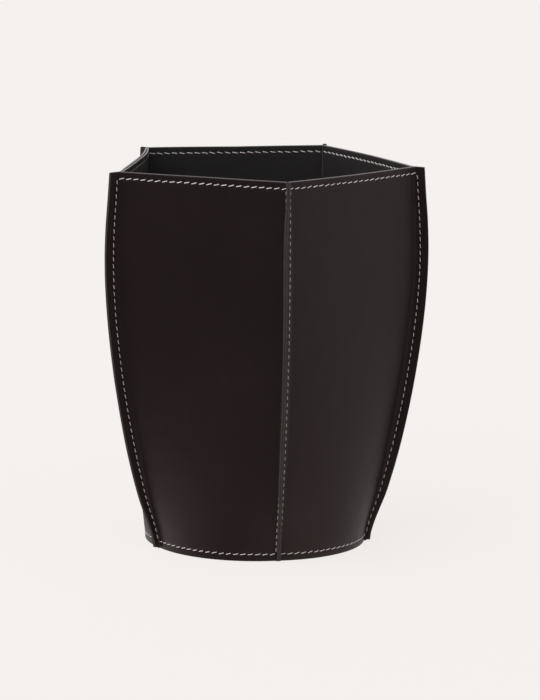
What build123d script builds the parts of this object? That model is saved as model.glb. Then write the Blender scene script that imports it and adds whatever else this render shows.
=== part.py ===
from build123d import *
import math
import os

os.makedirs("parts", exist_ok=True)

# Driving dimensions, in mm. The origin is the centre of the underside, +Z is up and one seam faces -Y.
HEIGHT = 120.0
SIDES = 5
LEATHER = 0.6        # thickness of an outer panel
LINING = 0.5         # thickness of a lining panel and of the base leather's upturned edge
GLUE = 0.05          # gap left for glue between any two layers

# Profiles, each a list of (height, value) stations joined smoothly.
# FIN_EDGE is the radius of a seam fin's outer edge, FIN_DEPTH the distance from there in to the panel's
# corner, PANEL_MIDDLE the distance from the axis to the panel's middle, and BEND_RADIUS the outer radius of
# the bend from body to fin.
FIN_EDGE = [(0, 36.5), (4, 37.2), (10, 39.3), (16, 41.6), (30, 45.5), (50, 49.6), (75, 52.9), (95, 53.7),
            (108, 53.0), (HEIGHT, 52.1)]
FIN_DEPTH = [(0, 1.8), (12, 2.6), (30, 3.4), (60, 3.6), (95, 3.5), (HEIGHT, 2.9)]
PANEL_MIDDLE = [(0, 35.2), (30, 38.0), (60, 40.3), (95, 41.7), (HEIGHT, 40.8)]
BEND_RADIUS = [(0, 0.4), (12, 0.75), (25, 1.2), (40, 1.8), (60, 2.0), (95, 1.8), (HEIGHT, 1.2)]

LOFT_HEIGHTS = [0, 3, 6, 10, 15, 22, 30, 40, 52, 65, 80, 95, 108, HEIGHT]   # sections of each panel
BASE_SECTIONS = 3                                                           # sections of each base layer
FIRST_SPAN = 1.0     # least height from a lining panel's foot to its next section

FIN_LIFT = 0.35      # the fins' feet stop this far above the desk
SKIRT_HEIGHT = 5.0   # the base leather's upturned edge
BASE_LEATHER = 1.0
BOARD = 1.5
FLOOR_LINING = 0.6
OVERSHOOT = 1.0      # how far a cut runs past the surface it opens

# Stitching. A stitch is a short length of thread lying on the leather.
THREAD = 0.38
STITCH = 1.95        # length of one visible stitch on the rim and the base
SEAM_STITCH = 1.65   # the same on a seam, where the stitches are closer together
SLANT = 12.0         # degrees that each rim and base stitch tilts from its line
SEAM_SLANT = 5.0     # the same for the stitches on a seam
STAND_OFF = 0.02     # clearance between thread and leather
INNER_STAND_OFF = 0.08   # the same inside the rim, where the loft runs 0.05 inside its sections' curve
RIM_INSET = 2.05     # from the rim down to its stitches
BASE_INSET = 2.25    # from the desk up to the base stitches
RIM_STITCHES, INNER_STITCHES, BASE_STITCHES = 23, 23, 19   # on one panel
RUN_GAP = 0.3        # from the end of a rim or base run to the column of seam stitches
CORNER_GAP = 0.45    # from the end of the inner rim run to the corner of the lining
# From the fin's edge in to its stitches, by height.
SEAM_INSET = [(0, 1.4), (5, 1.6), (12, 2.0), (25, 2.45), (40, 2.55), (100, 2.55), (HEIGHT, 2.35)]
SEAM_STITCHES = 53
SEAM_LOW, SEAM_HIGH = 3.45, 117.05   # heights of the lowest and highest stitch on a seam

HALF = math.pi / SIDES
RADIAL = Vector(math.sin(HALF), math.cos(HALF), 0)     # along the right-hand seam plane, in a panel's frame
INWARD = Vector(-math.cos(HALF), math.sin(HALF), 0)    # square to that plane, towards the panel's middle
LAYER = LINING + GLUE
FLESH, GRAIN = GLUE / 2, GLUE / 2 + LEATHER            # a fin's inner and outer face, from the seam plane


def smooth(stations, z):
    """The value at height z of a smooth curve through the stations."""
    last = len(stations) - 1
    i = min(max(sum(1 for s in stations if s[0] <= z) - 1, 0), last - 1)

    def slope(k):
        a, b = stations[max(k - 1, 0)], stations[min(k + 1, last)]
        return (b[1] - a[1]) / (b[0] - a[0])

    (z0, v0), (z1, v1) = stations[i], stations[i + 1]
    span = z1 - z0
    t = (z - z0) / span
    return ((2 * t**3 - 3 * t**2 + 1) * v0 + (t**3 - 2 * t**2 + t) * span * slope(i)
            + (3 * t**2 - 2 * t**3) * v1 + (t**3 - t**2) * span * slope(i + 1))


def body_arc(z):
    """Centre and radius of the arc that a panel's outer face follows at height z."""
    corner = smooth(FIN_EDGE, z) - smooth(FIN_DEPTH, z)
    middle = smooth(PANEL_MIDDLE, z)
    bow = middle - corner * math.cos(HALF)
    radius = ((corner * math.sin(HALF))**2 + bow**2) / (2 * bow)
    return Vector(0, middle - radius, 0), radius


def reach(centre, radius, offset):
    """Distance along the seam plane, moved inward by offset, to where it meets a circle."""
    q = INWARD * offset - centre
    b = RADIAL.dot(q)
    return -b + math.sqrt(b * b - q.dot(q) + radius * radius)


def flip(p):
    """The same point on the panel's other half."""
    return Vector(-p.X, p.Y, p.Z)


def bend(z):
    """The bend from body to fin at height z: its radius, where the fin starts along the seam plane, its
    centre, and the direction from the body's centre to it."""
    centre, radius = body_arc(z)
    bend_radius = smooth(BEND_RADIUS, z)
    start = reach(centre, radius + bend_radius, GRAIN + bend_radius)
    hub = RADIAL * start + INWARD * (GRAIN + bend_radius)
    return bend_radius, start, hub, (hub - centre).normalized()


def panel_wire(z):
    """Section of an outer panel: body, two bends and two fins, closed."""
    centre, radius = body_arc(z)
    bend_radius, start, hub, aim = bend(z)
    tip = smooth(FIN_EDGE, z)
    turn = (INWARD * -1 - aim).normalized()

    def side(offset, body_radius, arc_radius):
        return (RADIAL * tip + INWARD * offset, RADIAL * start + INWARD * offset,
                hub + turn * arc_radius, centre + aim * body_radius, centre + Vector(0, body_radius, 0))

    up = Vector(0, 0, z)
    g = [p + up for p in side(GRAIN, radius, bend_radius)]
    f = [p + up for p in side(FLESH, radius - LEATHER, bend_radius + LEATHER)]
    return Wire([
        Edge.make_line(f[0], g[0]), Edge.make_line(g[0], g[1]),
        Edge.make_three_point_arc(g[1], g[2], g[3]),
        Edge.make_three_point_arc(g[3], g[4], flip(g[3])),
        Edge.make_three_point_arc(flip(g[3]), flip(g[2]), flip(g[1])),
        Edge.make_line(flip(g[1]), flip(g[0])), Edge.make_line(flip(g[0]), flip(f[0])),
        Edge.make_line(flip(f[0]), flip(f[1])),
        Edge.make_three_point_arc(flip(f[1]), flip(f[2]), flip(f[3])),
        Edge.make_three_point_arc(flip(f[3]), f[4], f[3]),
        Edge.make_three_point_arc(f[3], f[2], f[1]), Edge.make_line(f[1], f[0])])


def lining_wire(z):
    """Section of a lining panel, glued behind the body of an outer panel."""
    centre, radius = body_arc(z)
    up = Vector(0, 0, z)
    ends, tops = [], []
    for layer_radius in (radius - LEATHER - GLUE, radius - LEATHER - LAYER):
        along = reach(centre, layer_radius, GLUE / 2)
        ends.append(RADIAL * along + INWARD * (GLUE / 2) + up)
        tops.append(centre + Vector(0, layer_radius, 0) + up)
    return Wire([
        Edge.make_three_point_arc(ends[0], tops[0], flip(ends[0])),
        Edge.make_line(flip(ends[0]), flip(ends[1])),
        Edge.make_three_point_arc(flip(ends[1]), tops[1], ends[1]),
        Edge.make_line(ends[1], ends[0])])


def base_wire(z, depth):
    """Closed outline of the base at height z, depth inside the outer panels' outer faces."""
    centre, radius = body_arc(z)
    end = RADIAL * reach(centre, radius - depth, 0)
    top = centre + Vector(0, radius - depth, 0)
    edges = []
    for k in range(SIDES):
        arc = Edge.make_three_point_arc(flip(end), top, end)
        edges.append(arc.moved(Location((0, 0, z), (0, 0, -360 / SIDES * k))))
    return Wire(edges)


def panel_location(k):
    """Places the part made for the panel's own frame on side k."""
    return Location((0, 0, 0), (0, 0, 180 + 180 / SIDES + 360 / SIDES * k))


def outer_panel():
    """An outer panel, with the feet of both its fins trimmed clear of the desk."""
    panel = Solid.make_loft([panel_wire(z) for z in LOFT_HEIGHTS])
    length = 2 * smooth(FIN_DEPTH, 0)
    middle = RADIAL * (bend(0)[1] + length / 2)
    angle = math.degrees(math.atan2(RADIAL.Y, RADIAL.X))
    feet = [Solid.make_box(length, length, 2 * FIN_LIFT, Plane((-length / 2, -length / 2, -FIN_LIFT))).moved(
        Location(place, (0, 0, turn))) for place, turn in ((middle, angle), (flip(middle), -angle))]
    return panel.cut(*feet)


def lining_panel():
    """A lining panel, standing just above the base leather's upturned edge."""
    low = SKIRT_HEIGHT + GLUE
    heights = [low] + [z for z in LOFT_HEIGHTS if z > low + FIRST_SPAN]
    return Solid.make_loft([lining_wire(z) for z in heights])


def base_layer(low, high, depth):
    """A solid filling the base outline between two heights."""
    heights = [low + (high - low) * i / (BASE_SECTIONS - 1) for i in range(BASE_SECTIONS)]
    return Solid.make_loft([base_wire(z, depth) for z in heights])


def base_leather():
    """Base leather: a flat bottom with its edge turned up inside the panels."""
    dish = base_layer(0, SKIRT_HEIGHT, LEATHER + GLUE)
    hollow = base_layer(BASE_LEATHER, SKIRT_HEIGHT + OVERSHOOT, LEATHER + LAYER)
    return dish.cut(hollow)


def base_board():
    """Stiff board lying in the base leather."""
    low = BASE_LEATHER + GLUE
    return base_layer(low, low + BOARD, LEATHER + LAYER + GLUE)


def floor_lining():
    """Lining on top of the board."""
    low = BASE_LEATHER + BOARD + 2 * GLUE
    return base_layer(low, low + FLOOR_LINING, LEATHER + LAYER + GLUE)


def rod(a, b):
    """One stitch, a rod with round ends centred on points a and b."""
    r, length = THREAD / 2, (b - a).length
    k = r * math.sqrt(0.5)      # half-way point of each round end
    outline = Wire([
        Edge.make_three_point_arc(Vector(0, 0, -r), Vector(k, 0, -k), Vector(r, 0, 0)),
        Edge.make_line(Vector(r, 0, 0), Vector(r, 0, length)),
        Edge.make_three_point_arc(Vector(r, 0, length), Vector(k, 0, length + k), Vector(0, 0, length + r)),
        Edge.make_line(Vector(0, 0, length + r), Vector(0, 0, -r))])
    return Solid.revolve(Face(outline), 360, Axis.Z).moved(Plane(a, z_dir=b - a).location)


def outer_face(z, along):
    """Point and facing direction on a panel's outer face, along its section from the panel's middle."""
    centre, radius = body_arc(z)
    bend_radius, start, hub, aim = bend(z)
    body_end = radius * math.atan2(aim.X, aim.Y)
    sweep = math.acos(aim.dot(INWARD))
    past = abs(along) - body_end
    if past <= 0:
        angle = abs(along) / radius
        facing = Vector(math.sin(angle), math.cos(angle), 0)
        point = centre + facing * radius
    elif past <= bend_radius * sweep:
        angle = past / bend_radius
        facing = (aim * math.sin(sweep - angle) + INWARD * math.sin(angle)) / math.sin(sweep)
        point = hub - facing * bend_radius
    else:
        facing = INWARD
        point = RADIAL * (start + past - bend_radius * sweep) + INWARD * GRAIN
    point += Vector(0, 0, z)
    return (point, facing) if along > 0 else (flip(point), flip(facing))


def lining_face(z, along):
    """Point and facing direction on a lining panel's inner face, along its section from the middle."""
    centre, radius = body_arc(z)
    inner = radius - LEATHER - LAYER
    out = Vector(math.sin(along / inner), math.cos(along / inner), 0)
    return centre + out * inner + Vector(0, 0, z), out * -1


def seam_column(z):
    """Distance along the outer face from the panel's middle to its column of seam stitches."""
    centre, radius = body_arc(z)
    bend_radius, start, hub, aim = bend(z)
    on_fin = smooth(FIN_EDGE, z) - smooth(SEAM_INSET, z) - start
    return radius * math.atan2(aim.X, aim.Y) + bend_radius * math.acos(aim.dot(INWARD)) + on_fin


def lining_corner(z):
    """Distance along the lining's inner face from its middle to its corner."""
    centre, radius = body_arc(z)
    inner = radius - LEATHER - LAYER
    corner = RADIAL * reach(centre, inner, GLUE / 2) - centre
    return inner * math.atan2(corner.X, corner.Y)


def level_run(face, z, half_length, count, stand_off=STAND_OFF):
    """Level row of stitches on a face, each tilted by SLANT."""
    pitch = 2 * half_length / count
    half = (STITCH - THREAD) / 2
    rise, run = half * math.sin(math.radians(SLANT)), half * math.cos(math.radians(SLANT))
    rods = []
    for i in range(count):
        middle = (i + 0.5) * pitch - half_length
        ends = [face(z - side * rise, middle + side * run) for side in (-1, 1)]
        rods.append(rod(*[point + facing * (THREAD / 2 + stand_off) for point, facing in ends]))
    return rods


def seam_run():
    """Columns of stitches down both faces of the seam between this panel and the next."""
    half = (SEAM_STITCH - THREAD) / 2
    lean = half * math.sin(math.radians(SEAM_SLANT))
    lift = GRAIN + THREAD / 2 + STAND_OFF
    rods = []
    for i in range(SEAM_STITCHES):
        middle = SEAM_LOW + (SEAM_HIGH - SEAM_LOW) * i / (SEAM_STITCHES - 1)
        for way in (1, -1):
            ends = []
            for z, tilt in ((middle - half, -lean), (middle + half, lean)):
                radius = smooth(FIN_EDGE, z) - smooth(SEAM_INSET, z) + way * tilt
                ends.append(RADIAL * radius + INWARD * (way * lift) + Vector(0, 0, z))
            rods.append(rod(*ends))
    return rods


def save(name, solids):
    """Writes one node, as a group where it holds several solids."""
    export_step(solids[0] if len(solids) == 1 else Compound(solids), f"parts/{name}.step")


rim = HEIGHT - RIM_INSET
rim_run = level_run(outer_face, rim, seam_column(rim) - RUN_GAP, RIM_STITCHES)
inner_run = level_run(lining_face, rim, lining_corner(rim) - CORNER_GAP, INNER_STITCHES, INNER_STAND_OFF)
side_parts = {
    "outer_panel": [outer_panel()],
    "lining_panel": [lining_panel()],
    "rim_thread": rim_run + inner_run,
    "seam_thread": seam_run(),
    "base_thread": level_run(outer_face, BASE_INSET, seam_column(BASE_INSET) - RUN_GAP, BASE_STITCHES),
}
for name, solids in side_parts.items():
    for k in range(SIDES):
        save(f"{name}_{k + 1}", [s.moved(panel_location(k)) for s in solids])
save("base_leather", [base_leather()])
save("base_board", [base_board()])
save("floor_lining", [floor_lining()])
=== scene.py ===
import math

import bpy
import numpy as np
from mathutils import Matrix, Vector, noise
from mathutils.bvhtree import BVHTree


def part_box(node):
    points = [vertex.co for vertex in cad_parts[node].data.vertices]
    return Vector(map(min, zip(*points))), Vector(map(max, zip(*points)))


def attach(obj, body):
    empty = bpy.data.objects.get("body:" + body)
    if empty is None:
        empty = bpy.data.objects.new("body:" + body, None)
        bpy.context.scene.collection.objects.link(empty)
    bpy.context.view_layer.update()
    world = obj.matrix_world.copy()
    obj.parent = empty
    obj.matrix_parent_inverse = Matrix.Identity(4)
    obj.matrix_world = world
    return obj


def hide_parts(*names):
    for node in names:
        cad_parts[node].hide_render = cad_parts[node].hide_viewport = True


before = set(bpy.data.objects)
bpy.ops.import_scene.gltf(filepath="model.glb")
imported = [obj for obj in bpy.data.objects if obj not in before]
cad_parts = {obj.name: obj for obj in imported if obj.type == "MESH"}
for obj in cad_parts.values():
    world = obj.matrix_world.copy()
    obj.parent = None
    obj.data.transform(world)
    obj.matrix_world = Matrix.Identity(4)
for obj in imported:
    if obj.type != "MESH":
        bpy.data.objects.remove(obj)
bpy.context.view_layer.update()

MM = 0.001
SIDES = 5
HALF = math.pi / SIDES
# In a panel's own frame: along its right-hand seam, and square to that seam towards the panel's middle.
RADIAL = np.array([math.sin(HALF), math.cos(HALF)])
INWARD = np.array([-math.cos(HALF), math.sin(HALF)])
rng = np.random.default_rng(5)


# ---------------------------------------------------------------- measuring the CAD frame

def side_turn(k):
    """Angle about Z from a panel's own frame (middle along +Y) to its place on side k."""
    return math.pi + HALF + 2 * HALF * k


def tree(node):
    """A CAD node's surface, ready for rays."""
    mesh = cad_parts[node].data
    mesh.calc_loop_triangles()
    return BVHTree.FromPolygons([v.co.copy() for v in mesh.vertices],
                                [tuple(t.vertices) for t in mesh.loop_triangles])


SAME_HIT, STEP_ON = 0.02 * MM, 1e-6      # hits closer together count as one, and a ray restarts this far on


def hits(bvh, start, direction):
    """Distances along a ray in panel 1's own frame to each surface it crosses."""
    turn = Matrix.Rotation(side_turn(0), 3, "Z")
    origin, aim = turn @ Vector(start), (turn @ Vector(direction)).normalized()
    found, travelled = [], 0.0
    while True:
        where, _, _, distance = bvh.ray_cast(origin, aim)
        if where is None:
            return found
        travelled += distance
        if not found or travelled - found[-1] > SAME_HIT:
            found.append(travelled)
        origin = where + aim * STEP_ON
        travelled += STEP_ON


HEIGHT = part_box("outer_panel_1")[1].z
FAR = 0.2                     # where the measuring rays start, clear of the cup
RIM_MARGIN = 0.02 * MM        # rays keep this far from the rim and the desk
FOOT_MARGIN = 0.6 * MM        # rays at a fin pass above its foot, which stops a little above the desk
ACROSS = 0.30                 # share of the fin's radius at which the body's curve is measured
panel_tree, lining_tree = tree("outer_panel_1"), tree("lining_panel_1")
middle_ray = hits(panel_tree, (0, FAR, HEIGHT / 2), (0, -1, 0))
lining_ray = hits(lining_tree, (0, FAR, HEIGHT / 2), (0, -1, 0))
LEATHER = middle_ray[1] - middle_ray[0]
GLUE = lining_ray[0] - middle_ray[1]
LINING = lining_ray[1] - lining_ray[0]
FLESH, GRAIN = GLUE / 2, GLUE / 2 + LEATHER     # a fin's inner and outer face, from the seam plane


def measure(z):
    """Fin radius, middle radius and body arc radius of the CAD panel at height z."""
    z = min(max(z, RIM_MARGIN), HEIGHT - RIM_MARGIN)
    start = RADIAL * FAR + INWARD * (GLUE / 2 + LEATHER / 2)
    foot = max(z, FOOT_MARGIN)
    tip = FAR - hits(panel_tree, (start[0], start[1], foot), (-RADIAL[0], -RADIAL[1], 0))[0]
    middle = FAR - hits(panel_tree, (0, FAR, z), (0, -1, 0))[0]
    across = ACROSS * tip
    drop = middle - (FAR - hits(panel_tree, (across, FAR, z), (0, -1, 0))[0])
    return tip, middle, (across**2 + drop**2) / (2 * drop)


STATIONS = np.array([0, .02, .045, .08, .125, .18, .25, .34, .44, .55, .66, .77, .86, .93, 1.0]) * HEIGHT
measured = np.array([measure(z) for z in STATIONS])
measured[:, 2] = 1 / measured[:, 2]      # curvature runs more evenly with height than radius does


def smooth_at(values, z):
    """Cubic through the stations at heights z."""
    slope = np.gradient(values, STATIONS)
    i = np.clip(np.searchsorted(STATIONS, z) - 1, 0, len(STATIONS) - 2)
    span = STATIONS[i + 1] - STATIONS[i]
    t = (z - STATIONS[i]) / span
    return ((2 * t**3 - 3 * t**2 + 1) * values[i] + (t**3 - 2 * t**2 + t) * span * slope[i]
            + (3 * t**2 - 2 * t**3) * values[i + 1] + (t**3 - t**2) * span * slope[i + 1])


def tip_radius(z):
    """Radius of the fins' outer edges."""
    return smooth_at(measured[:, 0], z)


BLUR = 0.03       # how far a profile's corners are eased, as a share of the cup's height


def ramp(z, heights, values):
    """Smooth design profile, heights as a share of the cup's height and values in mm."""
    heights, values = np.array(heights) * HEIGHT, np.array(values) * MM
    below, here, above = (np.interp(z + s * BLUR * HEIGHT, heights, values) for s in (-1, 0, 1))
    return (here * 2 + below + above) / 4


def bend_radius(z):
    """Outer radius of the bend from body to fin."""
    return ramp(z, [0, .1, .21, .33, .5, .8, 1], [0.4, 0.75, 1.2, 1.8, 2.0, 1.8, 1.2])


def seam_inset(z):
    """From a fin's outer edge in to its stitches."""
    return ramp(z, [0, .04, .1, .2, .33, .83, 1], [1.4, 1.6, 2.0, 2.45, 2.55, 2.55, 2.35])


# How far each panel's middle swells or sinks, in mm: leather is never quite the same twice.
SWELL = [0.25, -0.15, 0.1, 0.3, -0.25]


def body_arc(z, k):
    """Centre (along the panel's own +Y) and radius of the body's outer face."""
    middle = smooth_at(measured[:, 1], z)
    curve = smooth_at(measured[:, 2], z)
    share = np.clip(z / HEIGHT, 0, 1)
    swell = SWELL[k] * MM * np.sin(math.pi * share)**2
    half_width = 0.5 * tip_radius(z)
    curve = curve + 2 * swell / half_width**2
    return middle + swell - 1 / curve, 1 / curve


def reach(centre_y, radius, offset):
    """Distance along the seam plane, moved inward by offset, to where it meets a circle."""
    qx, qy = INWARD[0] * offset, INWARD[1] * offset - centre_y
    b = RADIAL[0] * qx + RADIAL[1] * qy
    return -b + np.sqrt(b * b - qx * qx - qy * qy + radius * radius)


# ---------------------------------------------------------------- sections of the sheets

FIN_COLUMNS, BEND_COLUMNS, BODY_COLUMNS = 11, 9, 116
ROUNDING = 0.22             # how far a rounded cut edge stands out, as a share of the leather's thickness
EDGE = ROUNDING * LEATHER
FINE_ROWS, COARSE_ROWS = 0.28 * MM, 0.75 * MM
TOP_BAND = 3.8 * MM         # how far down from the rim the fine rows reach


def panel_side(z, k, offset, body_cut, bend_add):
    """Half a section, from the fin's edge to the panel's middle: points, distance from the fin's edge and
    distance along the body. offset, body_cut and bend_add place the outer or the inner face."""
    centre, radius = body_arc(z, k)
    bend = bend_radius(z)
    along = reach(centre, radius + bend, GRAIN + bend)
    hub = RADIAL * along + INWARD * (GRAIN + bend)
    aim = hub - np.array([0, centre])
    aim = aim / np.linalg.norm(aim)
    tip = tip_radius(z) - EDGE
    share = np.linspace(0, 1, FIN_COLUMNS)[:, None]
    fin = RADIAL * (tip + (along - tip) * share) + INWARD * offset
    first = math.atan2(-INWARD[1], -INWARD[0])
    last = math.atan2(-aim[1], -aim[0])
    sweep = (last - first + math.pi) % (2 * math.pi) - math.pi
    turn = first + sweep * np.linspace(0, 1, BEND_COLUMNS)[1:-1]
    arc = hub + (bend + bend_add) * np.stack([np.cos(turn), np.sin(turn)], 1)
    widest = math.atan2(aim[0], aim[1])
    angle = widest * np.linspace(1, 0, BODY_COLUMNS // 2 + 1)
    body = np.stack([(radius - body_cut) * np.sin(angle), centre + (radius - body_cut) * np.cos(angle)], 1)
    points = np.concatenate([fin, arc, body])
    from_tip = np.concatenate([(tip - along) * share[:, 0] + EDGE, np.full(len(arc) + len(body), 1.0)])
    on_body = np.concatenate([np.full(len(fin) + len(arc), np.nan), radius * angle])
    return points, from_tip, on_body


def mirror(half):
    """A whole section from its +X half."""
    points, from_tip, on_body = half
    other = points[::-1][1:] * [-1, 1]
    return (np.concatenate([points, other]), np.concatenate([from_tip, from_tip[::-1][1:]]),
            np.concatenate([on_body, -on_body[::-1][1:]]))


def rows(low, high, fine_low, fine_high):
    """Heights of the mesh rows, closer together below fine_low and above fine_high."""
    return np.unique(np.concatenate([
        np.arange(low, fine_low, FINE_ROWS), np.arange(fine_low, fine_high, COARSE_ROWS),
        np.arange(fine_high, high - FINE_ROWS / 2, FINE_ROWS), [high]]))


def at_height(points, z):
    """Points of a section, raised to height z."""
    return np.concatenate([points, np.full((len(points), 1), z)], 1)


# ---------------------------------------------------------------- stitch lines

RIM_LINE = HEIGHT - 2.05 * MM       # height of the rim stitches
BASE_LINE = (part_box("base_thread_1")[0].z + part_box("base_thread_1")[1].z) / 2
SEAM_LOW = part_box("seam_thread_1")[0].z
SEAM_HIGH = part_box("seam_thread_1")[1].z
RIM_STITCHES, INNER_STITCHES, BASE_STITCHES, SEAM_STITCHES = 23, 23, 19, 53
RIM_PITCH, INNER_PITCH, BASE_PITCH = 2.56 * MM, 2.40 * MM, 2.37 * MM
# Radius of the thread, which is pulled in deeper along the base and the seams.
RIM_THREAD, INNER_THREAD, BASE_THREAD, SEAM_THREAD = 0.140 * MM, 0.186 * MM, 0.117 * MM, 0.128 * MM


# How deep each line of stitching pulls the leather in, in mm, how wide the groove is, and the share of its
# depth that comes and goes with each stitch.
RIM_GROOVE, INNER_GROOVE, BASE_GROOVE, SEAM_GROOVE = 0.11, 0.10, 0.12, 0.08
GROOVE_WIDTH, SEAM_GROOVE_WIDTH, PULSE = 0.65 * MM, 0.55 * MM, 0.2


def bell(x, width):
    return np.exp(-(x / width)**2)


def pulse(phase):
    """Dips once for each stitch, where phase counts the stitches."""
    return (1 - PULSE) + PULSE * np.cos(2 * math.pi * phase)


def soft_noise(points, scale, seed):
    """Smooth lumps, about -1 to 1, with scale of them to the metre."""
    return np.array([noise.noise(Vector((p[0] * scale + seed, p[1] * scale, p[2] * scale))) for p in points])


def grain_relief(z, from_tip, on_body):
    """How far the stitching pulls the outer face in, at one row of the mesh."""
    s = np.nan_to_num(on_body)
    relief = SEAM_GROOVE * bell(from_tip - seam_inset(z), SEAM_GROOVE_WIDTH) * pulse(
        (z - SEAM_LOW) / (SEAM_HIGH - SEAM_LOW) * SEAM_STITCHES)
    if not SEAM_LOW - MM < z < SEAM_HIGH + MM:
        relief = np.zeros(len(s))
    for depth, line, pitch, count in ((RIM_GROOVE, RIM_LINE, RIM_PITCH, RIM_STITCHES),
                                      (BASE_GROOVE, BASE_LINE, BASE_PITCH, BASE_STITCHES)):
        groove = depth * bell(z - line, GROOVE_WIDTH) * pulse(s / pitch + count / 2)
        relief = relief + np.where(np.isnan(on_body), 0, groove)
    return relief * MM


def sheet_normals(grid, way):
    """Unit normals of a grid of points, rows by columns, outward from the cup for way 1 and inward for -1."""
    along, up = np.gradient(grid, axis=1), np.gradient(grid, axis=0)
    n = np.cross(along, up)
    n /= np.linalg.norm(n, axis=2, keepdims=True)
    return n if n[len(n) // 2, n.shape[1] // 2, 1] * way > 0 else -n


# ---------------------------------------------------------------- how each fin leans

# How far each seam's top and foot have crept round the cup, in mm, anticlockwise from above.
TOP_CREEP, FOOT_CREEP = [-0.45, 0, -0.6, 1.1, 0], [0.3, 0, 0, 0, 0]


def creep(seam, z):
    """How far a seam has crept sideways at height z."""
    share = np.clip(z / HEIGHT, 0, 1)
    return (TOP_CREEP[seam] * share**4 + FOOT_CREEP[seam] * (1 - share)**8) * MM


def lean_angle(seam, z):
    """Lean of a fin, in radians, positive towards the next seam clockwise from above."""
    share = z / HEIGHT
    if seam == 0:
        return np.radians(np.interp(share, [0, .04, .08, .12, .22, .4, .58, .75, .85, .90, .94, 1],
                                    [-2, 0, 8, 13, 18, 20, 24, 28, 26, 21, 13, 9]))
    middle, top = [(0, 0), (3, 1), (-4, -22), (4, 24), (-2, 1)][seam]
    return np.radians(middle * np.sin(math.pi * np.clip(share, 0, 1)) + top * np.clip(share, 0, 1)**4)


# A fin's lean starts ROOT_GAP outside its root and eases in over EASE. It fades between FULL and NONE off the
# seam plane. Only points outside OFF_AXIS from the cup's axis belong to the seam on their side.
ROOT_GAP, EASE, FULL, NONE, OFF_AXIS = 0.35 * MM, 0.45 * MM, 1.8 * MM, 4.8 * MM, 20 * MM


def lean_fins(points):
    """Bends every point near a seam with its fin, so leather and thread move together."""
    moved = points.copy()
    for seam in range(SIDES):
        a = -math.pi / 2 + 2 * HALF * seam
        out, side = np.array([math.cos(a), math.sin(a)]), np.array([-math.sin(a), math.cos(a)])
        along = moved[:, :2] @ out
        across = moved[:, :2] @ side - creep(seam, moved[:, 2])
        near = (np.abs(across) < NONE) & (along > OFF_AXIS)
        if not near.any():
            continue
        z = moved[near, 2]
        centre, radius = body_arc(z, seam)
        root = reach(centre, radius, GRAIN) + ROOT_GAP
        past = EASE * np.log1p(np.exp((along[near] - root) / EASE))
        past = past * np.clip((NONE - np.abs(across[near])) / (NONE - FULL), 0, 1)
        angle = lean_angle(seam, z)
        moved[near, :2] += np.outer(-np.sin(angle) * past, side) - np.outer((1 - np.cos(angle)) * past, out)
    return moved


# ---------------------------------------------------------------- meshes

def new_object(name, verts, faces, materials, face_slots=None):
    """A smooth-shaded object in the scene, each face with the material its slot number gives."""
    mesh = bpy.data.meshes.new(name)
    mesh.from_pydata([tuple(v) for v in verts], [], faces)
    for m in materials:
        mesh.materials.append(m)
    if face_slots is not None:
        mesh.polygons.foreach_set("material_index", face_slots)
    mesh.polygons.foreach_set("use_smooth", [True] * len(mesh.polygons))
    mesh.update()
    obj = bpy.data.objects.new(name, mesh)
    bpy.context.scene.collection.objects.link(obj)
    return obj


EDGE_RINGS = 4


def rounded_sheet(front, back, edge, ends=0):
    """Closed mesh from two grids of points, front and back, with a rounded cut edge all round.
    Returns vertices, faces and, for each face, 0 for front, 1 for back, 2 for the top edge, without so many
    columns at each end of it, and 3 for the rest."""
    n_rows, n_cols = front.shape[:2]
    verts = [front.reshape(-1, 3), back.reshape(-1, 3)]
    index = np.arange(n_rows * n_cols).reshape(n_rows, n_cols)
    quads = np.stack([index[:-1, :-1], index[:-1, 1:], index[1:, 1:], index[1:, :-1]], -1).reshape(-1, 4)
    faces = [quads, quads[:, ::-1] + n_rows * n_cols]
    loop = ([(0, j) for j in range(n_cols)] + [(i, n_cols - 1) for i in range(1, n_rows)]
            + [(n_rows - 1, j) for j in range(n_cols - 2, -1, -1)]
            + [(i, 0) for i in range(n_rows - 2, 0, -1)])
    ii, jj = np.array(loop).T
    inner_i = np.clip(ii, 1, n_rows - 2)
    inner_j = np.clip(jj, 1, n_cols - 2)
    f, b = front[ii, jj], back[ii, jj]
    outward = f - front[inner_i, inner_j]
    outward /= np.linalg.norm(outward, axis=1, keepdims=True)
    centre, half = (f + b) / 2, (f - b) / 2
    count = len(loop)
    previous = index[ii, jj]
    start = 2 * n_rows * n_cols
    for r in range(1, EDGE_RINGS + 1):
        t = math.pi * (0.5 - r / (EDGE_RINGS + 1))
        verts.append(centre + half * math.sin(t) + outward * edge * math.cos(t))
        current = start + (r - 1) * count + np.arange(count)
        faces.append(np.stack([previous, current, np.roll(current, -1), np.roll(previous, -1)], -1))
        previous = current
    current = index[ii, jj] + n_rows * n_cols
    faces.append(np.stack([previous, current, np.roll(current, -1), np.roll(previous, -1)], -1))
    on_rim = ((ii == n_rows - 1) & (np.roll(ii, -1) == n_rows - 1)
              & (np.minimum(jj, np.roll(jj, -1)) >= ends) & (np.maximum(jj, np.roll(jj, -1)) < n_cols - ends))
    kinds = np.concatenate([np.full(len(faces[0]), 0), np.full(len(faces[1]), 1),
                            np.tile(np.where(on_rim, 2, 3), EDGE_RINGS + 1)])
    return np.concatenate(verts), np.concatenate(faces).tolist(), kinds.tolist()


def place(points, k):
    """From a panel's own frame to side k."""
    a = side_turn(k)
    c, s = math.cos(a), math.sin(a)
    return np.stack([points[..., 0] * c - points[..., 1] * s, points[..., 0] * s + points[..., 1] * c,
                     points[..., 2]], -1)


FIN_LIFT = 0.35 * MM                                           # the fins' feet stop this far above the desk
FIN_DROP = np.array([0.15, 0.15, -0.08, 0.15, 0.15]) * MM      # how far each seam's fin stops below the rim

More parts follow.
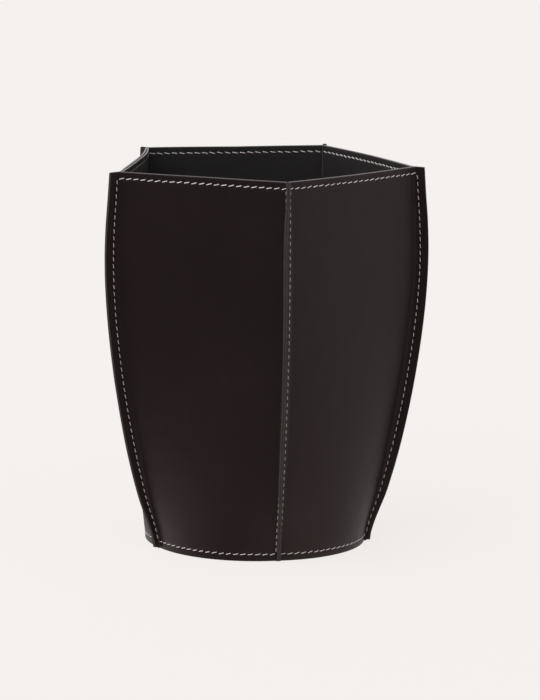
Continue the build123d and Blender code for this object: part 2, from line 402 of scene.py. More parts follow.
# No hand-made cup is exact. How far each panel's top edge bows inward, in mm, and where along it (-1 to 1).
SAG = [(0.2, 0), (-0.2, 0), (0.1, 0), (1.9, 0.3), (0.0, 0)]
# How far each lining panel's top edge has come away from its outer panel, in mm.
LOOSE = [0, 0, 0, 0.3, 0]
# How far the rim stands above its nominal height, in mm, at each seam and at the panel's middle after it.
RIM_WAVE = [0.05, -0.20, -0.25, 0.08, 0.20, 0.05, 0.40, 0.0, -0.30, 0.0]


def finish_shape(points, k, leans):
    """Takes points from a panel's own frame to their place on side k, with the cup's own irregularities."""
    x, z = points[:, 0], points[:, 2]
    amount, centre = SAG[k]
    u = x / (tip_radius(np.clip(z, 0, HEIGHT)) * math.sin(HALF)) - centre
    u = np.clip(u / (1 - centre * np.sign(u)), -1, 1)
    points = points.copy()
    points[:, 1] -= amount * MM * np.cos(math.pi / 2 * u) * np.clip((z / HEIGHT - 0.4) / 0.6, 0, 1)**2
    points = place(points, k)
    angle = (np.arctan2(points[:, 1], points[:, 0]) + math.pi / 2) / HALF % (2 * SIDES)
    knots = np.arange(2 * SIDES + 1)
    share = np.clip(points[:, 2] / HEIGHT, 0, 1)
    wave = np.interp(angle, knots, RIM_WAVE + RIM_WAVE[:1])
    apart = np.abs((angle / 2 - np.arange(SIDES)[:, None] + SIDES / 2) % SIDES - SIDES / 2)
    turn = sum(creep(seam, points[:, 2]) * np.clip(1 - 2 * apart[seam], 0, 1) for seam in range(SIDES))
    turn /= tip_radius(np.clip(points[:, 2], 0, HEIGHT))
    points[:, :2] = np.stack([points[:, 0] * np.cos(turn) - points[:, 1] * np.sin(turn),
                              points[:, 0] * np.sin(turn) + points[:, 1] * np.cos(turn)], 1)
    points[:, 2] += wave * MM * share**3
    return lean_fins(points) if leans else points


FOOT_BAND = 3.6 * MM                            # how far up from the desk a panel's fine rows reach
EVEN_BAND, EVEN_SHARE = 3 * MM, 0.3             # near its top and foot a panel keeps this share of its lumps
LIFT_BAND, DROP_BAND = 4 * MM, 5 * MM           # over these heights a fin's foot lifts and its top drops


def panel_mesh(k):
    """An outer panel on side k: vertices, faces and the kind of each face."""
    heights = rows(EDGE, HEIGHT - EDGE, FOOT_BAND, HEIGHT - TOP_BAND)
    grain, flesh, relief = [], [], []
    for z in heights:
        points, from_tip, on_body = mirror(panel_side(z, k, GRAIN, 0, 0))
        grain.append(at_height(points, z))
        flesh.append(at_height(mirror(panel_side(z, k, FLESH, LEATHER, LEATHER))[0], z))
        relief.append(grain_relief(z, from_tip, on_body))
    grain, flesh, relief = np.array(grain), np.array(flesh), np.array(relief)
    flat = grain.reshape(-1, 3)
    lumps = 0.10 * soft_noise(flat, 55, 7.3 * k) + 0.05 * soft_noise(flat, 170, 3.1 * k + 20)
    keep = np.clip(np.minimum(grain[..., 2], HEIGHT - grain[..., 2]) / EVEN_BAND, EVEN_SHARE, 1)
    grain = grain + sheet_normals(grain, 1) * (lumps.reshape(relief.shape) * MM * keep - relief)[..., None]
    # the fins' feet stop above the desk, and their tops are trimmed a little off the rim's level
    columns = np.arange(grain.shape[1])
    on_fin = np.clip(1 - np.minimum(columns, columns[::-1]) / (FIN_COLUMNS - 1), 0, 1)
    z = heights[:, None]
    drop = np.where(columns < len(columns) / 2, FIN_DROP[k], FIN_DROP[(k + 1) % SIDES])
    trim = (FIN_LIFT * np.clip(3 * on_fin, 0, 1) * np.clip(1 - z / LIFT_BAND, 0, 1)
            - drop * on_fin * np.clip(1 - (HEIGHT - z) / DROP_BAND, 0, 1))
    grain[..., 2] += trim
    flesh[..., 2] += trim
    verts, faces, kinds = rounded_sheet(grain, flesh, EDGE, FIN_COLUMNS + 2)
    return finish_shape(verts, k, True), faces, kinds


SKIVED_STRIP, SKIVED_SHARE = 0.17 * MM, 0.3     # width of a lining's skived end, and the share pared off
LOOSE_FROM = 0.93                               # share of the height above which a lining comes away


def lining_mesh(k):
    """A lining panel on side k: vertices, faces and the kind of each face."""
    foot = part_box(f"lining_panel_{k + 1}")[0].z
    edge = ROUNDING * LINING
    heights = rows(foot + edge, HEIGHT - edge, foot + edge + MM, HEIGHT - TOP_BAND)
    outer, inner = [], []
    for z in heights:
        centre, radius = body_arc(z, k)
        for cut, store in ((LEATHER + GLUE, outer), (LEATHER + GLUE + LINING, inner)):
            r = radius - cut
            end = RADIAL * (reach(centre, r, GLUE) - edge * 0.6) + INWARD * GLUE
            widest = math.atan2(end[0], end[1] - centre)
            angle = widest * np.linspace(-1, 1, BODY_COLUMNS + 1)
            angle[-2] = widest - SKIVED_STRIP / r
            store.append(at_height(np.stack([r * np.sin(angle), centre + r * np.cos(angle)], 1), z))
    outer, inner = np.array(outer), np.array(inner)
    s = inner[..., 0]
    z = inner[..., 2]
    relief = INNER_GROOVE * bell(z - RIM_LINE, GROOVE_WIDTH) * pulse(s / INNER_PITCH + INNER_STITCHES / 2)
    lumps = (0.07 * soft_noise(inner.reshape(-1, 3), 60, 40 + 5.7 * k)).reshape(s.shape)
    inner = inner + sheet_normals(inner, -1) * ((lumps - relief) * MM)[..., None]
    loose = LOOSE[k] * MM * np.clip((z / HEIGHT - LOOSE_FROM) / (1 - LOOSE_FROM), 0, 1)**2 * np.clip(
        3 - 3 * np.abs(s) / np.abs(s).max(), 0, 1)
    outer[..., 1] -= loose
    inner[..., 1] -= loose
    # one end of each lining is skived thin, and its raw edge shows in the corner, coloured light: partly the
    # raw edge's own colour, partly a painted highlight along the corner
    inner[:, -1] += (outer[:, -1] - inner[:, -1]) * SKIVED_SHARE
    verts, faces, kinds = rounded_sheet(outer, inner, edge)
    n_rows, n_cols = s.shape
    raw = (n_rows - 1) * (n_cols - 1) + np.arange(1, n_rows) * (n_cols - 1) - 1
    kinds = np.array(kinds)
    kinds[raw] = 3
    # a lining's columns run the other way from a panel's, so its faces are turned to look outward
    return finish_shape(verts, k, False), [face[::-1] for face in faces], kinds.tolist()


def outline(z, cut, count=40):
    """Closed outline of the base at height z, cut inside the panels' outer faces, as (count * SIDES, 2)."""
    ring = []
    for k in range(SIDES):
        centre, radius = body_arc(z, -k % SIDES)
        r = radius - cut
        end = RADIAL * reach(centre, r, 0)
        widest = math.atan2(end[0], end[1] - centre)
        angle = widest * (np.arange(count) / count * 2 - 1)
        local = np.stack([r * np.sin(angle), centre + r * np.cos(angle), np.zeros(count)], 1)
        # the sides follow one another clockwise from above, each from its own -X end to its +X end
        ring.append(place(local, -k))
    ring = np.concatenate(ring)
    # the re-entrant corners under the fins are eased, as leather can't fold to a sharp line
    for _ in range(3):
        ring = (np.roll(ring, 1, 0) + 2 * ring + np.roll(ring, -1, 0)) / 4
    return ring[:, :2]


def turned(name, profile, materials, slots):
    """Mesh of rings, each (height, cut, share of the outline's size), closed at both ends by a point."""
    rings, faces, kinds = [], [], []
    for z, cut, share in profile:
        edge = outline(max(z, 0), cut) * share
        rings.append(np.concatenate([edge, np.full((len(edge), 1), z)], 1))
    n = len(rings[0])
    verts = np.concatenate(rings)
    for r in range(len(rings) - 1):
        a, b = r * n, (r + 1) * n
        for i in range(n):
            j = (i + 1) % n
            faces.append((a + i, b + i, b + j, a + j))
            kinds.append(slots[r])
    first, last = len(verts), len(verts) + 1
    verts = np.concatenate([verts, [[0, 0, profile[0][0]], [0, 0, profile[-1][0]]]])
    for i in range(n):
        j = (i + 1) % n
        faces.append((first, i, j))
        kinds.append(slots[0])
        faces.append((last, (len(rings) - 1) * n + j, (len(rings) - 1) * n + i))
        kinds.append(slots[-1])
    return new_object(name, verts, faces, materials, kinds)


# ---------------------------------------------------------------- thread

ROUND, LONG = 12, 15        # points round a stitch and along it
# How far a stitch's ends dive, how long one twist of its strands is, how proud the strands stand, how much
# its ends taper and how flat it is pulled.
DIVE, TWIST, STRAND, TAPER, FLATNESS = 0.42 * MM, 0.62 * MM, 0.15, 0.22, 0.88
# Length as a share of the pitch, slant in degrees, and height of the thread's middle above the leather.
LEVEL_LENGTH, LEVEL_SLANT, LEVEL_HEIGHT = 0.86, -13, 0.03 * MM
SEAM_LENGTH, SEAM_SLANT, SEAM_HEIGHT = 0.70, 6, 0.05 * MM
# From the end of a row to the column of seam stitches, and to the lining's corner.
RUN_GAP, CORNER_GAP = 0.12 * MM, 0.3 * MM
HALF_BAND = 0.4 * MM        # a level row reads its face at this far below and above its line


def stitch(points, normals, radius, lift):
    """One stitch of twisted thread over a face. It rises out of the leather, lies on it and dives back in."""
    t = np.linspace(-1, 1, LONG)
    run = np.gradient(points, axis=0)
    run /= np.linalg.norm(run, axis=1, keepdims=True)
    cross = np.cross(run, normals)
    length = np.linalg.norm(points[-1] - points[0])
    height = lift - DIVE * np.abs(t)**5
    twist = t * length / 2 / TWIST * math.pi * 2
    phi = np.linspace(0, 2 * math.pi, ROUND, endpoint=False)[None, :]
    lobes = 1 + STRAND * np.cos(3 * (phi - twist[:, None] / 3))
    r = (radius * (1 - TAPER * np.abs(t)**6)[:, None] * lobes)[..., None]
    centre = points + height[:, None] * normals
    verts = (centre[:, None, :] + r * np.cos(phi)[..., None] * cross[:, None, :]
             + FLATNESS * r * np.sin(phi)[..., None] * normals[:, None, :]).reshape(-1, 3)
    verts = np.concatenate([verts, centre[[0, -1]]])
    faces = []
    for i in range(LONG - 1):
        for j in range(ROUND):
            n = (j + 1) % ROUND
            faces.append((i * ROUND + j, (i + 1) * ROUND + j, (i + 1) * ROUND + n, i * ROUND + n))
    low, high = LONG * ROUND, LONG * ROUND + 1
    for j in range(ROUND):
        n = (j + 1) % ROUND
        faces.append((low, j, n))
        faces.append((high, (LONG - 1) * ROUND + n, (LONG - 1) * ROUND + j))
    return verts, faces


def outer_section(z, k):
    """The outer face at height z from the panel's middle to its +X fin: distance along it, points, facing, and
    the distance to the column of seam stitches."""
    points, from_tip, _ = panel_side(z, k, GRAIN, 0, 0)
    points, from_tip = points[::-1], from_tip[::-1]
    along = np.concatenate([[0], np.cumsum(np.linalg.norm(np.diff(points, axis=0), axis=1))])
    tangent = np.gradient(points, axis=0)
    tangent /= np.linalg.norm(tangent, axis=1, keepdims=True)
    column = np.interp(-seam_inset(z), -from_tip, along)
    return along, points, np.stack([-tangent[:, 1], tangent[:, 0]], 1), column


def lining_section(z, k):
    """The lining's inner face at height z from the panel's middle to its +X corner: distance along it, points,
    facing, and the distance to the corner."""
    centre, radius = body_arc(z, k)
    r = radius - LEATHER - GLUE - LINING
    corner = RADIAL * reach(centre, r, FLESH) - np.array([0, centre])
    angle = np.linspace(0, math.atan2(corner[0], corner[1]), 60)
    out = np.stack([np.sin(angle), np.cos(angle)], 1)
    return r * angle, out * r + np.array([0, centre]), -out, r * angle[-1]


def level_stitches(section, z, k, count, gap, radius):
    """A level row of stitches from one seam of panel k to the other, in the panel's own frame."""
    made = []
    along, low, low_facing, column = section(z - HALF_BAND, k)
    along_high, high, _, _ = section(z + HALF_BAND, k)
    total = 2 * (column - gap)
    pitch = total / count
    t = np.linspace(-1, 1, LONG)
    for i in range(count):
        slant = math.radians(LEVEL_SLANT + rng.uniform(-4, 4))
        length = pitch * LEVEL_LENGTH * rng.uniform(0.95, 1.04)
        middle = (i + 0.5) * pitch - total / 2
        s = middle + t * length / 2 * math.cos(slant)
        rise = t * length / 2 * math.sin(slant) + rng.uniform(-0.05, 0.05) * MM
        flip = np.where(s < 0, -1, 1)

        def at(grid, values):
            return np.stack([np.interp(np.abs(s), grid, values[:, 0]) * flip,
                             np.interp(np.abs(s), grid, values[:, 1])], 1)

        below, above = at(along, low), at(along_high, high)
        share = (rise / HALF_BAND + 1)[:, None] / 2
        points = np.concatenate([below + (above - below) * share, (z + rise)[:, None]], 1)
        up = np.concatenate([above - below, np.full((LONG, 1), 2 * HALF_BAND)], 1)
        up /= np.linalg.norm(up, axis=1, keepdims=True)
        normals = np.concatenate([at(along, low_facing), np.zeros((LONG, 1))], 1)
        normals -= up * (normals * up).sum(1, keepdims=True)
        normals /= np.linalg.norm(normals, axis=1, keepdims=True)
        made.append(stitch(points, normals, radius, LEVEL_HEIGHT))
    return made


def seam_stitches():
    """Columns of stitches down both faces of a seam."""
    made = []
    pitch = (SEAM_HIGH - SEAM_LOW) / SEAM_STITCHES
    t = np.linspace(-1, 1, LONG)
    for i in range(SEAM_STITCHES):
        for way in (1, -1):
            length = pitch * SEAM_LENGTH * rng.uniform(0.95, 1.03)
            lean = math.radians(SEAM_SLANT + rng.uniform(-3, 3)) * way
            z = SEAM_LOW + pitch * (i + 0.5) + t * length / 2 * math.cos(lean)
            r = tip_radius(z) - seam_inset(z) + t * length / 2 * math.sin(lean)
            across = way * GRAIN
            points = np.stack([RADIAL[0] * r + INWARD[0] * across, RADIAL[1] * r + INWARD[1] * across, z], 1)
            normals = np.tile([INWARD[0] * way, INWARD[1] * way, 0], (LONG, 1))
            made.append(stitch(points, normals, SEAM_THREAD, SEAM_HEIGHT))
    return made


def thread_object(name, made, k, material):
    """One piece from the stitches made for side k."""
    verts, faces, start = [], [], 0
    for v, f in made:
        verts.append(v)
        faces += [tuple(i + start for i in face) for face in f]
        start += len(v)
    return new_object(name, finish_shape(np.concatenate(verts), k, True), faces, [material])


# ---------------------------------------------------------------- materials

def nodes_for(name):
    """A new material, its node tree and its Principled shader."""
    m = bpy.data.materials.new(name)
    m.use_nodes = True
    return m, m.node_tree, m.node_tree.nodes["Principled BSDF"]


def texture(nt, kind, scale, coords, **inputs):
    """A texture node of that kind and scale on the coordinates."""
    t = nt.nodes.new(kind)
    t.inputs["Scale"].default_value = scale
    for key, value in inputs.items():
        t.inputs[key].default_value = value
    nt.links.new(coords, t.inputs["Vector"])
    return t


def spread(nt, source, low, high):
    """Maps a 0 to 1 value onto low to high."""
    r = nt.nodes.new("ShaderNodeMapRange")
    r.inputs["To Min"].default_value = low
    r.inputs["To Max"].default_value = high
    nt.links.new(source, r.inputs["Value"])
    return r.outputs["Result"]


def blend_colours(nt, factor, a, b):
    """Colour a where factor is 0 and b where it is 1."""
    mix = nt.nodes.new("ShaderNodeMix")
    mix.data_type = "RGBA"
    nt.links.new(factor, mix.inputs["Factor"])
    mix.inputs[6].default_value = (*a, 1)
    mix.inputs[7].default_value = (*b, 1)
    return mix.outputs[2]


def bump(nt, height, strength, distance, normal=None):
    """Normal of a surface whose height varies by distance, in metres, on top of another bump if given."""
    b = nt.nodes.new("ShaderNodeBump")
    b.inputs["Strength"].default_value = strength
    b.inputs["Distance"].default_value = distance
    nt.links.new(height, b.inputs["Height"])
    if normal is not None:
        nt.links.new(normal, b.inputs["Normal"])
    return b.outputs["Normal"]


WARM = (1.0, 0.80, 0.79, 1)      # tint of the light that the outer leather reflects


def leather(name, dark, light, rough=(0.40, 0.50), grain=0.12, fine=2600, shine=0.32, tint=WARM):
    """Leather with cloudy colour, fine wrinkles and pores. grain is the strength of its bumps and fine the
    scale of its pores."""
    m, nt, bsdf = nodes_for(name)
    coords = nt.nodes.new("ShaderNodeTexCoord").outputs["Object"]
    cloudy = texture(nt, "ShaderNodeTexNoise", 34, coords, Detail=4.0, Roughness=0.55)
    mottle = texture(nt, "ShaderNodeTexNoise", 420, coords, Detail=3.0)
    pores = texture(nt, "ShaderNodeTexVoronoi", fine, coords)
    pores.feature = "DISTANCE_TO_EDGE"
    wrinkle = texture(nt, "ShaderNodeTexNoise", 900, coords, Detail=5.0, Roughness=0.6)
    both = nt.nodes.new("ShaderNodeMath")
    both.operation = "MULTIPLY_ADD"
    nt.links.new(mottle.outputs["Fac"], both.inputs[0])
    both.inputs[1].default_value = 0.35
    nt.links.new(cloudy.outputs["Fac"], both.inputs[2])
    colour = blend_colours(nt, spread(nt, both.outputs[0], -0.3, 0.9), dark, light)
    nt.links.new(colour, bsdf.inputs["Base Color"])
    nt.links.new(spread(nt, mottle.outputs["Fac"], *rough), bsdf.inputs["Roughness"])
    n = bump(nt, wrinkle.outputs["Fac"], grain * 0.6, 0.00025)
    n = bump(nt, pores.outputs["Distance"], grain, 0.00012, n)
    nt.links.new(n, bsdf.inputs["Normal"])
    bsdf.inputs["Specular IOR Level"].default_value = shine
    bsdf.inputs["Specular Tint"].default_value = tint
    return m


def edge_paint(name, dark, light, coat=0.5, rough=(0.22, 0.42), shine=0.5):
    """Burnished and painted cut edge: smoother than the faces, with fine layers along it."""
    m, nt, bsdf = nodes_for(name)
    coords = nt.nodes.new("ShaderNodeTexCoord").outputs["Object"]
    fibre = texture(nt, "ShaderNodeTexNoise", 1500, coords, Detail=3.0)
    worn = texture(nt, "ShaderNodeTexNoise", 180, coords, Detail=4.0)
    nt.links.new(blend_colours(nt, worn.outputs["Fac"], dark, light), bsdf.inputs["Base Color"])
    nt.links.new(spread(nt, fibre.outputs["Fac"], *rough), bsdf.inputs["Roughness"])
    nt.links.new(bump(nt, fibre.outputs["Fac"], 0.10, 0.0001), bsdf.inputs["Normal"])
    bsdf.inputs["Specular Tint"].default_value = WARM
    bsdf.inputs["Specular IOR Level"].default_value = shine
    bsdf.inputs["Coat Weight"].default_value = coat
    bsdf.inputs["Coat Roughness"].default_value = 0.18
    return m


def thread_finish(name, dark, light):
    """Matt twisted thread with a little fuzz."""
    m, nt, bsdf = nodes_for(name)
    coords = nt.nodes.new("ShaderNodeTexCoord").outputs["Object"]
    shade = texture(nt, "ShaderNodeTexNoise", 700, coords, Detail=3.0)
    hair = texture(nt, "ShaderNodeTexNoise", 9000, coords, Detail=2.0)
    nt.links.new(blend_colours(nt, shade.outputs["Fac"], dark, light), bsdf.inputs["Base Color"])
    nt.links.new(spread(nt, hair.outputs["Fac"], 0.5, 0.75), bsdf.inputs["Roughness"])
    nt.links.new(bump(nt, hair.outputs["Fac"], 0.25, 0.00004), bsdf.inputs["Normal"])
    bsdf.inputs["Sheen Weight"].default_value = 0.25
    bsdf.inputs["Subsurface Weight"].default_value = 0.05
    bsdf.inputs["Subsurface Scale"].default_value = 0.0002
    return m


def board_finish(name):
    """Flecked fibre board."""
    m, nt, bsdf = nodes_for(name)
    coords = nt.nodes.new("ShaderNodeTexCoord").outputs["Object"]
    flecks = texture(nt, "ShaderNodeTexNoise", 1300, coords, Detail=6.0)
    nt.links.new(blend_colours(nt, flecks.outputs["Fac"], (0.10, 0.08, 0.06), (0.24, 0.19, 0.14)),
                 bsdf.inputs["Base Color"])
    nt.links.new(bump(nt, flecks.outputs["Fac"], 0.3, 0.0001), bsdf.inputs["Normal"])
    bsdf.inputs["Roughness"].default_value = 0.85
    return m


outer_leather = leather("outer_leather", (0.0098, 0.0050, 0.0052), (0.0150, 0.0085, 0.0088))
inner_leather = leather("inner_leather", (0.0265, 0.0243, 0.0250), (0.0390, 0.0365, 0.0372),
                        rough=(0.55, 0.7), grain=0.10, tint=(1.0, 0.93, 0.94, 1))
flesh_side = leather("flesh_side", (0.030, 0.024, 0.021), (0.055, 0.045, 0.038), rough=(0.8, 0.95), grain=0.5)
under_leather = leather("under_leather", (0.0115, 0.0095, 0.0095), (0.0185, 0.0150, 0.0148),
                        rough=(0.5, 0.65), grain=0.35, fine=1500)
rim_edge = edge_paint("rim_edge", (0.022, 0.018, 0.017), (0.045, 0.038, 0.036))
fin_edge = edge_paint("fin_edge", (0.046, 0.0365, 0.0360), (0.068, 0.0555, 0.0545), 0.0, (0.7, 0.9), 0.0)
# The linings' cut edges and skived strips are light partly because raw leather is, and partly as a painted
# highlight along the inner corners.
lining_raw_edge_and_highlight = edge_paint("lining_raw_edge_and_highlight", (0.13, 0.12, 0.117), (0.20, 0.186, 0.18), 0.0, (0.6, 0.8), 0.3)
thread_look = thread_finish("thread", (0.58, 0.534, 0.534), (0.83, 0.77, 0.765))
# The seam stitches use the same thread as the rows but coloured darker: painted shade for the creases beside
# the fins where they sit.
seam_thread_painted_shade_look = thread_finish("seam_thread", (0.33, 0.293, 0.287), (0.54, 0.492, 0.48))
board_look = board_finish("board")


# ---------------------------------------------------------------- the cup

def claim(obj, node):
    """Puts a piece on the cup's one body, in the place of a CAD node."""
    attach(obj, "root")
    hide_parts(node)


for k in range(SIDES):
    n = k + 1
    verts, faces, kinds = panel_mesh(k)
    looks = [outer_leather, flesh_side, rim_edge, fin_edge]
    claim(new_object(f"leather_panel_{n}", verts, faces, looks, kinds), f"outer_panel_{n}")
    verts, faces, kinds = lining_mesh(k)
    looks = [flesh_side, inner_leather, rim_edge, lining_raw_edge_and_highlight]
    claim(new_object(f"lining_{n}", verts, faces, looks, kinds), f"lining_panel_{n}")
    rim = level_stitches(outer_section, RIM_LINE, k, RIM_STITCHES, RUN_GAP, RIM_THREAD)
    rim += level_stitches(lining_section, RIM_LINE, k, INNER_STITCHES, CORNER_GAP, INNER_THREAD)
    claim(thread_object(f"rim_stitching_{n}", rim, k, thread_look), f"rim_thread_{n}")
    base = level_stitches(outer_section, BASE_LINE, k, BASE_STITCHES, RUN_GAP, BASE_THREAD)
    claim(thread_object(f"base_stitching_{n}", base, k, thread_look), f"base_thread_{n}")
    seam = thread_object(f"seam_stitching_{n}", seam_stitches(), k, seam_thread_painted_shade_look)
    claim(seam, f"seam_thread_{n}")

skirt_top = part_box("base_leather")[1].z
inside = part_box("base_board")[0].z - GLUE       # top of the flat bottom, inside the dish
floor_low, floor_high = (corner.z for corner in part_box("floor_lining"))
outer_cut, inner_cut = LEATHER + GLUE, LEATHER + GLUE + LINING
dish = turned("base_leather_cover", [
    (0, outer_cut, 0.5), (0, outer_cut, 0.8), (0, outer_cut, 0.965), (0.02 * MM, outer_cut, 0.985),
    (0.12 * MM, outer_cut, 0.994), (0.35 * MM, outer_cut, 1), (2 * MM, outer_cut, 1),
    (skirt_top - 0.2 * MM, outer_cut, 1), (skirt_top - 0.05 * MM, outer_cut + 0.08 * MM, 1),
    (skirt_top, (outer_cut + inner_cut) / 2, 1), (skirt_top - 0.05 * MM, inner_cut - 0.08 * MM, 1),
    (skirt_top - 0.2 * MM, inner_cut, 1), (inside + GLUE + 0.5 * MM, inner_cut, 1),
    (inside, inner_cut + 0.1 * MM, 1), (inside, inner_cut + 0.1 * MM, 0.5)],
    [under_leather, inner_leather, rim_edge], [0] * 7 + [2] * 4 + [1] * 3)
claim(dish, "base_leather")
lining_cut = inner_cut + GLUE
pad = turned("floor_lining_pad", [
    (floor_low, lining_cut, 0.5), (floor_low, lining_cut, 0.98), (floor_low + 0.1 * MM, lining_cut, 1),
    (floor_high - 0.2 * MM, lining_cut, 1), (floor_high - 0.05 * MM, lining_cut + 0.1 * MM, 0.999),
    (floor_high, lining_cut + 0.25 * MM, 0.995), (floor_high, lining_cut, 0.9),
    (floor_high, lining_cut, 0.5)],
    [inner_leather, flesh_side], [1] * 3 + [0] * 4)
claim(pad, "floor_lining")
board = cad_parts["base_board"]
board.data.materials.clear()
board.data.materials.append(board_look)


# ---------------------------------------------------------------- floor, light, camera

# The camera looks from slightly above, with the front seam a little right of the middle.
AZIMUTH, ELEVATION, ROLL = math.radians(-11.17), math.radians(10.05), 0.0084


def level_direction(turn):
    """Level unit vector, turned anticlockwise from above by so many degrees from the way to the camera."""
    return (math.sin(AZIMUTH + math.radians(turn)), -math.cos(AZIMUTH + math.radians(turn)), 0)


DIM, UNLIT = level_direction(-30), level_direction(80)      # where reflections and soft light are weakest
# The pool of light on the floor, as reflections see it: its strength all round, the turn and strength of its
# brighter lobes, their sharpness and its radius.
POOL, LOBES, LOBE_SHARPNESS, POOL_RADIUS = 0.15, [(-70, 1.0), (30, 0.62)], 5.0, 0.95 * HEIGHT
FAR_FLOOR, FLOOR_SHADE = 0.56, (0.12, 1.0)                  # the floor beyond the pool, in reflections
WORLD_SHADE, WORLD_LIGHT = (0.05, 0.70), (0.05, 0.92)       # the studio's walls, in reflections and as light
EVEN_GLOW = 0.88                                            # share of the floor that glows evenly
OPEN_RADIUS = 0.92 * tip_radius(0)                          # the floor is open this far out under the cup


def vector_node(nt, operation, direction, other=None):
    """A vector maths node on a node's output and, if given, a fixed vector."""
    n = nt.nodes.new("ShaderNodeVectorMath")
    n.operation = operation
    if other is not None:
        n.inputs[1].default_value = other
    nt.links.new(direction, n.inputs[0])
    return n


def emission(nt, colour):
    """A glowing surface of that colour."""
    n = nt.nodes.new("ShaderNodeEmission")
    n.inputs["Color"].default_value = colour
    return n


def mix_shaders(nt, factor, first, second):
    """The first shader where factor is 0 and the second where it is 1."""
    n = nt.nodes.new("ShaderNodeMixShader")
    if isinstance(factor, float):
        n.inputs["Fac"].default_value = factor
    else:
        nt.links.new(factor, n.inputs["Fac"])
    nt.links.new(first, n.inputs[1])
    nt.links.new(second, n.inputs[2])
    return n.outputs["Shader"]


def studio_shade(nt, direction, away, dark, bright):
    """Brightness of the studio in a direction, darkest towards the unit vector away."""
    dot = vector_node(nt, "DOT_PRODUCT", direction, away)
    r = nt.nodes.new("ShaderNodeMapRange")
    r.interpolation_type = "SMOOTHSTEP"
    for key, value in (("From Min", 0.75), ("From Max", -0.55), ("To Min", dark), ("To Max", bright)):
        r.inputs[key].default_value = value
    nt.links.new(dot.outputs["Value"], r.inputs["Value"])
    return r.outputs["Result"]


def math_node(nt, operation, a, b=0.0):
    """Result of a maths node on two values, each a number or another node's output."""
    n = nt.nodes.new("ShaderNodeMath")
    n.operation = operation
    for i, v in enumerate((a, b)):
        if isinstance(v, (int, float)):
            n.inputs[i].default_value = v
        else:
            nt.links.new(v, n.inputs[i])
    return n.outputs[0]


def floor_finish():
    """Pale paper, which reflections see as a pool of light round the cup in a dim room."""
    m, nt, bsdf = nodes_for("floor")
    coords = nt.nodes.new("ShaderNodeTexCoord").outputs["Object"]
    paper = texture(nt, "ShaderNodeTexNoise", 2.5, coords, Detail=2.0)
    nt.links.new(blend_colours(nt, paper.outputs["Fac"], (0.845, 0.822, 0.810), (0.855, 0.832, 0.820)),
                 bsdf.inputs["Base Color"])
    bsdf.inputs["Roughness"].default_value = 0.9
    bsdf.inputs["Specular IOR Level"].default_value = 0.0
    length = vector_node(nt, "LENGTH", coords).outputs["Value"]
    unit = vector_node(nt, "NORMALIZE", coords).outputs["Vector"]
    far = math_node(nt, "DIVIDE", length, POOL_RADIUS)
    falling = math_node(nt, "MULTIPLY", math_node(nt, "MULTIPLY", far, far), -1.0)
    lit = POOL
    for turn, strength in LOBES:
        lobe = vector_node(nt, "DOT_PRODUCT", unit, level_direction(turn)).outputs["Value"]
        narrow = math_node(nt, "POWER", math_node(nt, "MAXIMUM", lobe), LOBE_SHARPNESS)
        lit = math_node(nt, "ADD", math_node(nt, "MULTIPLY", narrow, strength), lit)
    near = math_node(nt, "MULTIPLY", math_node(nt, "EXPONENT", falling), lit)
    level = math_node(nt, "MULTIPLY", studio_shade(nt, unit, DIM, *FLOOR_SHADE), FAR_FLOOR)
    glow = emission(nt, (1.0, 0.93, 0.92, 1))
    nt.links.new(math_node(nt, "ADD", level, near), glow.inputs["Strength"])
    # Most of what the camera sees of the floor is its own even glow, which keeps the contact shadow faint.
    even = emission(nt, (0.925, 0.896, 0.882, 1))
    soft = mix_shaders(nt, EVEN_GLOW, bsdf.outputs["BSDF"], even.outputs["Emission"])
    glossy = nt.nodes.new("ShaderNodeLightPath").outputs["Is Glossy Ray"]
    seen = mix_shaders(nt, glossy, soft, glow.outputs["Emission"])
    # Seen from below, and right under the cup, the floor isn't there, so the underside can be looked at.
    behind = nt.nodes.new("ShaderNodeNewGeometry").outputs["Backfacing"]
    gap = math_node(nt, "MAXIMUM", behind, math_node(nt, "LESS_THAN", length, OPEN_RADIUS))
    clear = nt.nodes.new("ShaderNodeBsdfTransparent").outputs["BSDF"]
    nt.links.new(mix_shaders(nt, gap, seen, clear), nt.nodes["Material Output"].inputs["Surface"])
    return m


reach_out = 40 * HEIGHT
corners = [(x * reach_out, y * reach_out, 0) for x, y in ((-1, -1), (1, -1), (1, 1), (-1, 1))]
floor = new_object("floor", corners, [(0, 1, 2, 3)], [floor_finish()])
floor.location.z = -0.02 * MM

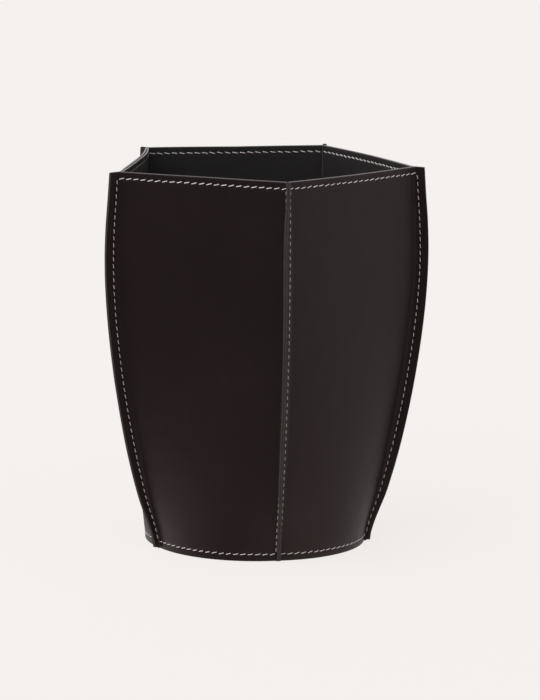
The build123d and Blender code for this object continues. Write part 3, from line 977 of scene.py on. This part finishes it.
world = bpy.data.worlds.new("studio")
bpy.context.scene.world = world
world.use_nodes = True
wt = world.node_tree
sky = wt.nodes["Background"]
sky.inputs["Color"].default_value = (1.0, 0.985, 0.975, 1)
around = wt.nodes.new("ShaderNodeTexCoord").outputs["Generated"]
level = wt.nodes.new("ShaderNodeMix")
wt.links.new(wt.nodes.new("ShaderNodeLightPath").outputs["Is Glossy Ray"], level.inputs["Factor"])
wt.links.new(studio_shade(wt, around, UNLIT, *WORLD_LIGHT), level.inputs["A"])
wt.links.new(studio_shade(wt, around, DIM, *WORLD_SHADE), level.inputs["B"])
wt.links.new(level.outputs["Result"], sky.inputs["Strength"])


def sun(name, azimuth, elevation, spread_degrees, strength):
    """A distant soft light, so that the floor stays evenly lit."""
    a, e = math.radians(azimuth), math.radians(elevation)
    away = Vector((math.sin(a) * math.cos(e), -math.cos(a) * math.cos(e), math.sin(e)))
    light = bpy.data.lights.new(name, "SUN")
    light.angle = math.radians(spread_degrees)
    light.energy = strength
    light.specular_factor = 0.4
    obj = bpy.data.objects.new(name, light)
    bpy.context.scene.collection.objects.link(obj)
    obj.rotation_mode = "QUATERNION"
    obj.rotation_quaternion = (-away).to_track_quat("-Z", "Y")


sun("overhead", 10, 72, 70, 0.9)
sun("side", -60, 40, 50, 0.5)

# Distance from the cup, and how far the view's centre is to the right of the cup's and above it.
DISTANCE, SHIFT, LIFT = 10.00869 * HEIGHT, 0.033638 * HEIGHT, 0.002564 * HEIGHT
LENS = 195.6394       # mm, for a sensor 36 mm along the picture's longer side
back = Vector((math.sin(AZIMUTH) * math.cos(ELEVATION), -math.cos(AZIMUTH) * math.cos(ELEVATION),
               math.sin(ELEVATION)))
across = Vector((math.cos(AZIMUTH), math.sin(AZIMUTH), 0))
rise = back.cross(across)
across, rise = (across * math.cos(ROLL) + rise * math.sin(ROLL),
                rise * math.cos(ROLL) - across * math.sin(ROLL))
eye = bpy.data.cameras.new("camera")
eye.sensor_width = 36
eye.lens = LENS
eye.clip_start, eye.clip_end = 0.01, 50
camera = bpy.data.objects.new("camera", eye)
bpy.context.scene.collection.objects.link(camera)
turn = Matrix((across, rise, back)).transposed()
camera.rotation_mode = "QUATERNION"
camera.rotation_quaternion = turn.to_quaternion()
camera.location = (Vector((0, 0, HEIGHT / 2 + LIFT)) + back * DISTANCE
                   + Vector((math.cos(AZIMUTH), math.sin(AZIMUTH), 0)) * SHIFT)
bpy.context.scene.camera = camera
bpy.context.scene.view_settings.view_transform = "Standard"
